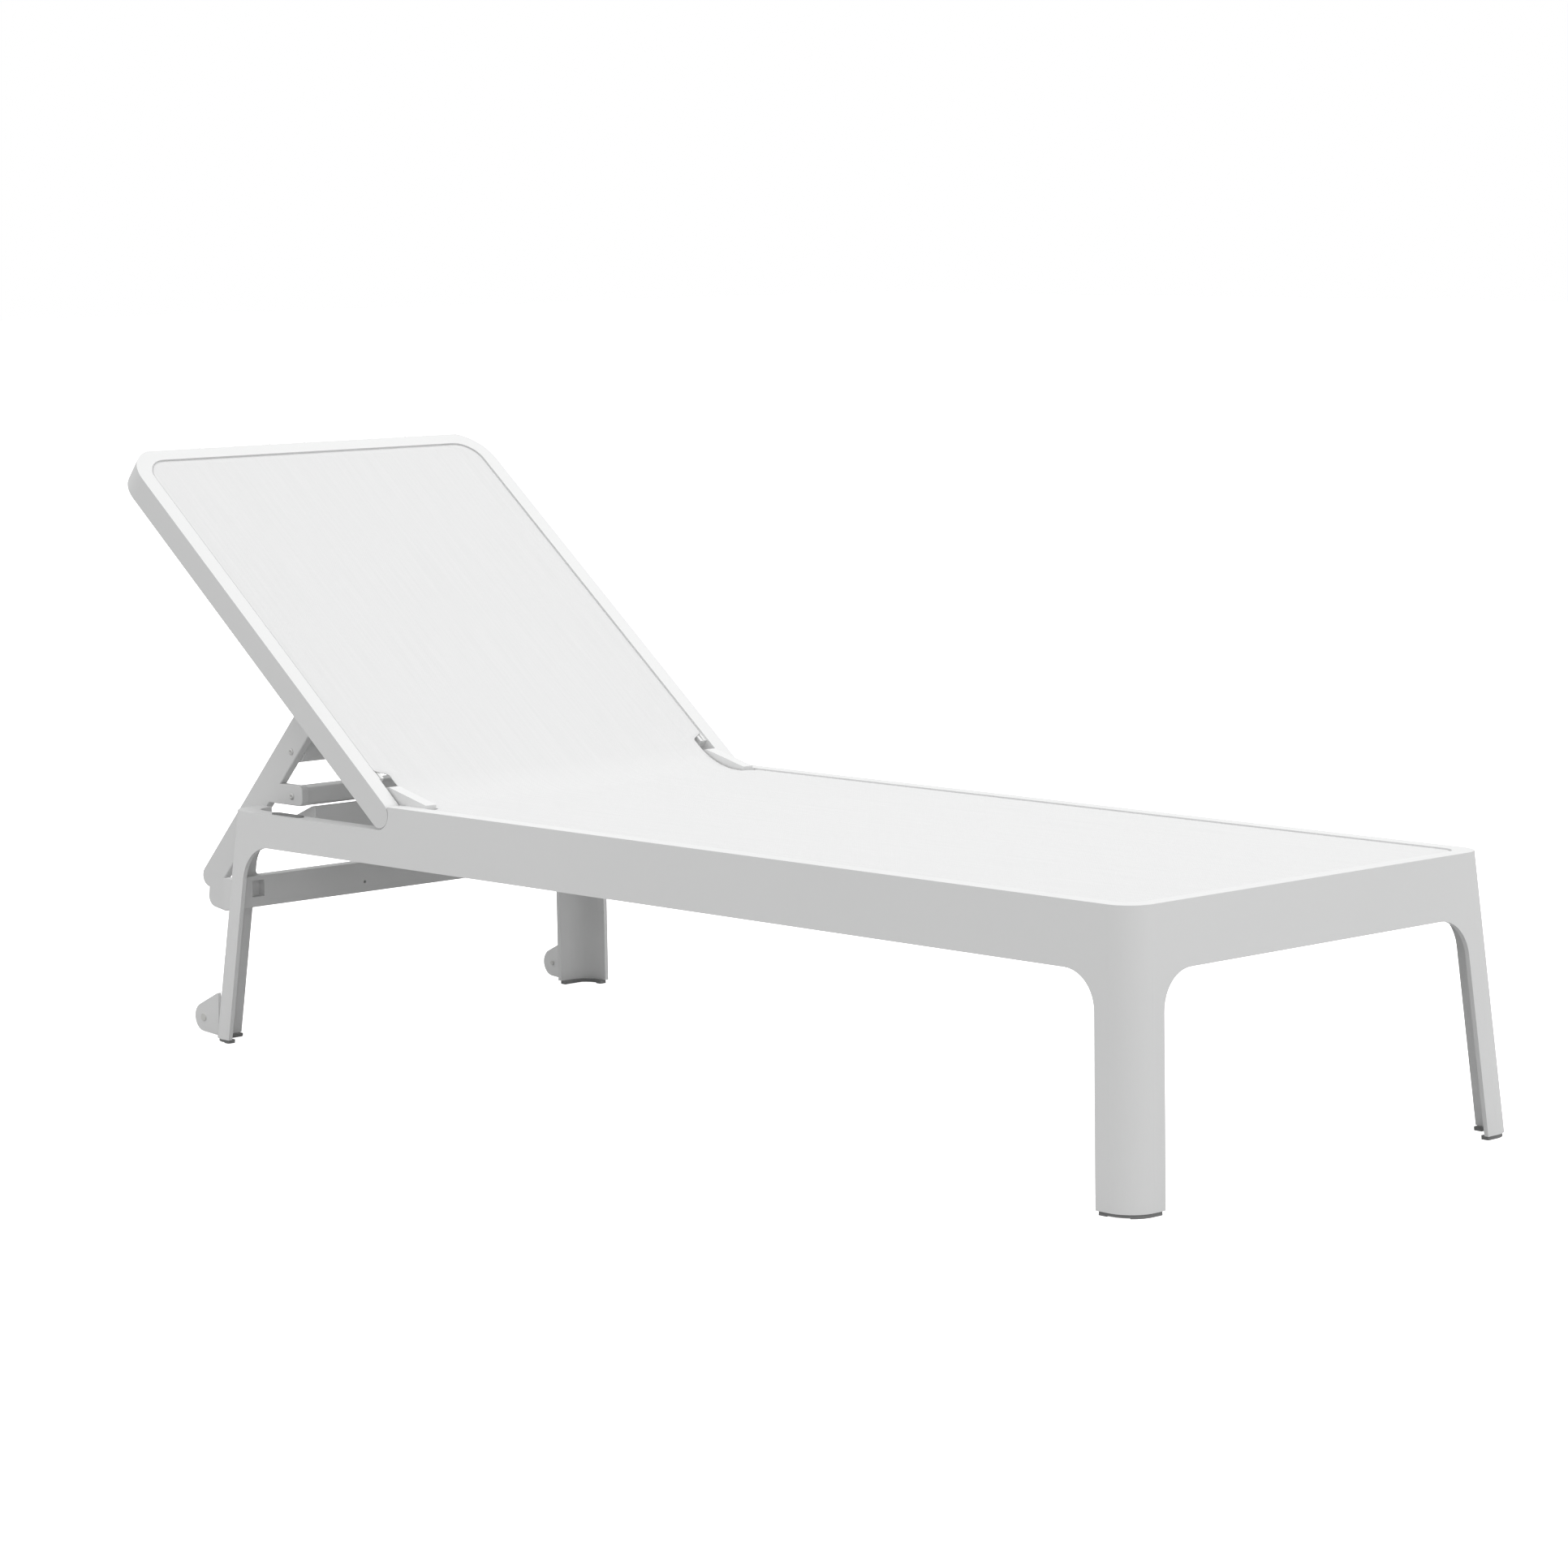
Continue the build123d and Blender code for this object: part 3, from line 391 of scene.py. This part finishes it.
# one sling from the head rail to the foot rail, thickness and edge detail in metres
slingCut = {
    "thickness": 0.0012,
    "bend": 0.046,          # run of sling, each side of the fold, that takes the curve
    "headRound": 0.033,
    "footRound": 0.022,
    "waist": 0.0195,        # how far the edge steps in to pass the hinge lugs
    "waistBack": 0.050,     # its start up the backrest, from the hinge
    "waistSeat": 0.066,     # its end along the seat, from the hinge
    "waistEase": 0.014,
    "hem": 0.020,
    "hemRise": 0.0003,
    "edgeDip": 0.0009,      # where the cloth turns down to its keder
    "dipRun": 0.009,
    "sag": 0.0030,
    "seatFirmness": 0.35,   # how much less the seat sags than the backrest
    "sagShape": 0.7,
    "rowStep": 0.012,
    "fineStep": 0.0025,
    "endFine": 0.036,       # finely stepped run at each end
    "waistFine": 0.03,      # finely stepped run round each end of the waist
    "edgeSteps": (0.0, 0.0015, 0.003, 0.005, 0.007, 0.009, 0.013, 0.019, 0.021, 0.028),
    "middleCount": 30,
    "turnBack": 0.055,      # where the cloth starts to turn at the hinge, up the backrest
    "turnSeat": 0.05,       # and where it stops, along the seat
}


def makeSling(cut):
    backCloth = [v.co - hinge for v in nodes["backrest_sling"].data.vertices]
    backEnd = max(co.dot(alongBack) for co in backCloth)
    backTop = max(co.dot(offBack) for co in backCloth)
    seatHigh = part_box("seat_sling")[1]
    halfWidth = seatHigh.y
    fold = (seatHigh.z - hinge.z - backTop * math.cos(backTilt)) / math.sin(backTilt)
    foldPoint = hinge + fold * alongBack + backTop * offBack
    radius = cut["bend"] / math.tan(backTilt / 2)
    backRun = backEnd - fold - cut["bend"]
    arcRun = radius * backTilt
    seatRun = seatHigh.x - foldPoint.x - cut["bend"]
    total = backRun + arcRun + seatRun
    waistFrom = backEnd - cut["waistBack"]
    waistTo = backRun + arcRun + hinge.x + cut["waistSeat"] - foldPoint.x - cut["bend"]

    def onPath(run):
        if run < backRun:
            return foldPoint + (cut["bend"] + backRun - run) * alongBack, offBack
        if run < backRun + arcRun:
            lean = backTilt - (run - backRun) / radius
            outward = Vector((math.sin(lean), 0, math.cos(lean)))
            centre = foldPoint + Vector((cut["bend"], 0, radius))
            return centre - radius * outward, outward
        return foldPoint + Vector((cut["bend"] + run - backRun - arcRun, 0, 0)), Vector((0, 0, 1))

    def halfAt(run):
        half = halfWidth
        for left, rounding in ((run, cut["headRound"]), (total - run, cut["footRound"])):
            if left < rounding:
                half -= rounding - math.sqrt(rounding ** 2 - (rounding - left) ** 2)
        into = smoothStep((run - waistFrom) / cut["waistEase"] + 1)
        outOf = smoothStep((waistTo - run) / cut["waistEase"] + 1)
        return half - cut["waist"] * into * outOf

    runs = []
    run = 0.0
    while run < total:
        runs.append(run)
        near = min(run, total - run) < cut["endFine"] or min(
            abs(run - waistFrom), abs(run - waistTo)) < cut["waistFine"]
        folding = waistFrom < run < waistTo
        run += cut["fineStep"] if near else cut["rowStep"] / 2 if folding else cut["rowStep"]
    runs.append(total)
    edgeSteps = cut["edgeSteps"]
    middleCount = cut["middleCount"]

    mesh = bmesh.new()
    layer = mesh.loops.layers.uv.new("clothPlan")
    grid = []
    plan = {}
    for run in runs:
        point, outward = onPath(run)
        half = halfAt(run)
        inner = half - edgeSteps[-1]
        sides = [half - step for step in edgeSteps]
        sides += [inner * (1 - 2 * k / middleCount) for k in range(1, middleCount)]
        sides += [step - half for step in reversed(edgeSteps)]
        seatShare = smoothStep((run - backRun) / arcRun)
        spanShare = math.sin(math.pi * min(1.0, run / backRun)) if run < backRun else (
            math.sin(math.pi * (run - backRun - arcRun) / seatRun) if run > backRun + arcRun else 0.0)
        row = []
        for side in sides:
            left = half - abs(side)
            lift = cut["hemRise"] * (1 - smoothStep((left - cut["hem"]) / 0.002 + 0.5))
            lift -= cut["edgeDip"] * (1 - smoothStep(left / cut["dipRun"]))
            endLeft = min(run, total - run)
            endDip = cut["edgeDip"] * (1 - smoothStep(endLeft / cut["dipRun"]))
            lift -= endDip * smoothStep(left / cut["dipRun"])
            sagHere = cut["sag"] * (1 - cut["seatFirmness"] * seatShare) * max(0.0, spanShare) ** cut["sagShape"]
            lift -= sagHere * (1 - (side / half) ** 2)
            vert = mesh.verts.new(point + Vector((0, side, 0)) + lift * outward)
            plan[vert] = (side, run)
            row.append(vert)
        grid.append(row)
    for upper, lower in zip(grid, grid[1:]):
        for k in range(len(upper) - 1):
            face = mesh.faces.new((upper[k], upper[k + 1], lower[k + 1], lower[k]))
            face.smooth = True
            for loop in face.loops:
                loop[layer].uv = plan[loop.vert]
    mesh.normal_update()
    if sum(face.normal.z for face in mesh.faces) < 0:
        bmesh.ops.reverse_faces(mesh, faces=mesh.faces)
    data = bpy.data.meshes.new("meshSling")
    mesh.to_mesh(data)
    mesh.free()
    sling = newPiece("meshSling", data, "white_mesh")
    thicken = sling.modifiers.new("thickness", "SOLIDIFY")
    thicken.thickness = cut["thickness"]
    thicken.offset = -1
    bakeModifiers(sling)
    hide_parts("seat_sling", "backrest_sling")
    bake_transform(sling)
    widths = [halfAt(run) for run in runs]
    print("sling made:", round(2 * halfWidth, 3), "by", round(total, 3), "m")


makeSling(slingCut)


# button-head screws of the prop
screwShape = {
    "headRadius": 0.0045,
    "headHeight": 0.0016,
    "shankRadius": 0.0024,
    "shankLength": 0.032,
    "socketRadius": 0.0016,
    "socketDepth": 0.0009,
    "turns": 36,
    "domeSteps": 7,
    "domeRim": 1.35,        # dome's inner edge, in socket radii
    "socketRim": 1.3,
}


def addScrew(mesh, shape, centre, side):
    def ring(radius, out, count=shape["turns"]):
        return [mesh.verts.new(centre + Vector((radius * math.cos(2 * math.pi * k / count), side * out,
                                                radius * math.sin(2 * math.pi * k / count)))) for k in range(count)]

    def skin(first, second):
        count = len(first)
        for k in range(count):
            mesh.faces.new((first[k], first[(k + 1) % count], second[(k + 1) % count], second[k])).smooth = True

    steps = shape["domeSteps"]
    domeRun = shape["headRadius"] - shape["domeRim"] * shape["socketRadius"]
    rings = [ring(shape["shankRadius"], -shape["shankLength"]), ring(shape["shankRadius"], 0.0),
             ring(shape["headRadius"], 0.0)]
    for k in range(1, steps):
        lean = 0.5 * math.pi * k / steps
        rings.append(ring(shape["headRadius"] - domeRun * (1 - math.cos(lean)),
                          shape["headHeight"] * math.sin(lean)))
    rings.append(ring(shape["socketRim"] * shape["socketRadius"], shape["headHeight"]))
    for first, second in zip(rings, rings[1:]):
        skin(first, second)
    mesh.faces.new(rings[0])
    # six-sided socket: the last round ring is drawn in to a hexagon of the same count, then sunk
    count = shape["turns"]
    hexagon = []
    for k in range(count):
        turn = 2 * math.pi * k / count
        reach = shape["socketRadius"] * math.cos(math.pi / 6) / math.cos((turn % (math.pi / 3)) - math.pi / 6)
        hexagon.append((reach * math.cos(turn), reach * math.sin(turn)))
    rim, floor = ([mesh.verts.new(centre + Vector((x, side * out, z))) for x, z in hexagon]
                  for out in (shape["headHeight"], shape["headHeight"] - shape["socketDepth"]))
    skin(rings[-1], rim)
    skin(rim, floor)
    mesh.faces.new(floor)


def makeScrews(shape):
    low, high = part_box("prop_screws")
    barMiddles = [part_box(bar) for bar in ("prop_upper_bar", "prop_hook_bar")]
    faceOut = high.y - shape["headHeight"]
    mesh = bmesh.new()
    for barLow, barHigh in barMiddles:
        middle = (barLow + barHigh) / 2
        for side in (1, -1):
            addScrew(mesh, shape, Vector((middle.x, side * faceOut, middle.z)), side)
    bmesh.ops.recalc_face_normals(mesh, faces=mesh.faces)
    data = bpy.data.meshes.new("propScrews")
    mesh.to_mesh(data)
    mesh.free()
    screws = newPiece("propScrews", data, "stainless")
    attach(screws, "prop")
    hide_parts("prop_screws")
    print("screws made")


makeScrews(screwShape)


# floor, sky and lights
studio = {
    "floorHalf": 30.0,
    "floorShown": 1.0,
    "floorTone": 0.50,
    "skyTop": 1.12,
    "skySide": 0.61,
    "skyTint": (1.0, 1.0, 1.0),
}


def makeFloor(setup):
    mesh = bmesh.new()
    bmesh.ops.create_grid(mesh, x_segments=2, y_segments=2, size=setup["floorHalf"])
    data = bpy.data.meshes.new("floor")
    mesh.to_mesh(data)
    mesh.free()
    floor = bpy.data.objects.new("floor", data)
    bpy.context.scene.collection.objects.link(floor)
    floor.location.z = cadBox[0][2] - 0.0002
    material, tree, shader = newMaterial("paleFloor", 0.9, 0.0)
    shader.inputs["Base Color"].default_value = (0.9, 0.9, 0.9, 1)
    shader.inputs["Emission Color"].default_value = (1, 1, 1, 1)
    shader.inputs["Emission Strength"].default_value = setup["floorShown"]
    dim = tree.nodes.new("ShaderNodeBsdfDiffuse")
    dim.inputs["Color"].default_value = (setup["floorTone"],) * 3 + (1,)
    mix = tree.nodes.new("ShaderNodeMixShader")
    tree.links.new(tree.nodes.new("ShaderNodeLightPath").outputs["Is Camera Ray"], mix.inputs["Fac"])
    tree.links.new(dim.outputs[0], mix.inputs[1])
    tree.links.new(shader.outputs[0], mix.inputs[2])
    tree.links.new(mix.outputs[0], tree.nodes["Material Output"].inputs["Surface"])
    data.materials.append(material)


def makeSky(setup):
    world = bpy.data.worlds.new("studioSky")
    world.use_nodes = True
    bpy.context.scene.world = world
    tree = world.node_tree
    shown = tree.nodes["Background"]
    shown.inputs["Color"].default_value = (1, 1, 1, 1)
    shown.inputs["Strength"].default_value = 1.0
    light = tree.nodes.new("ShaderNodeBackground")
    light.inputs["Color"].default_value = (*setup["skyTint"], 1)
    split = tree.nodes.new("ShaderNodeSeparateXYZ")
    tree.links.new(tree.nodes.new("ShaderNodeTexCoord").outputs["Generated"], split.inputs[0])
    tree.links.new(addRange(tree, split.outputs["Z"], 0.0, 0.9, setup["skySide"], setup["skyTop"]),
                   light.inputs["Strength"])
    mix = tree.nodes.new("ShaderNodeMixShader")
    tree.links.new(tree.nodes.new("ShaderNodeLightPath").outputs["Is Camera Ray"], mix.inputs["Fac"])
    tree.links.new(light.outputs[0], mix.inputs[1])
    tree.links.new(shown.outputs[0], mix.inputs[2])
    tree.links.new(mix.outputs[0], tree.nodes["World Output"].inputs["Surface"])


softLights = {
    "footSideSoftbox": {"place": (4.2, 1.2, 2.0), "size": 2.4, "power": 16.0},
    "overheadSoftbox": {"place": (0.2, 0.4, 3.6), "size": 3.2, "power": 30.0},
}


def makeLights(lights):
    aim = (Vector(cadBox[0]) + Vector(cadBox[1])) / 2
    for name, setup in lights.items():
        data = bpy.data.lights.new(name, "AREA")
        data.size = setup["size"]
        data.energy = setup["power"]
        light = bpy.data.objects.new(name, data)
        light.location = setup["place"]
        light.rotation_euler = (Vector(setup["place"]) - aim).to_track_quat("Z", "Y").to_euler()
        bpy.context.scene.collection.objects.link(light)


makeFloor(studio)
makeSky(studio)
makeLights(softLights)
bpy.context.scene.view_settings.view_transform = "Standard"
print("studio lit")
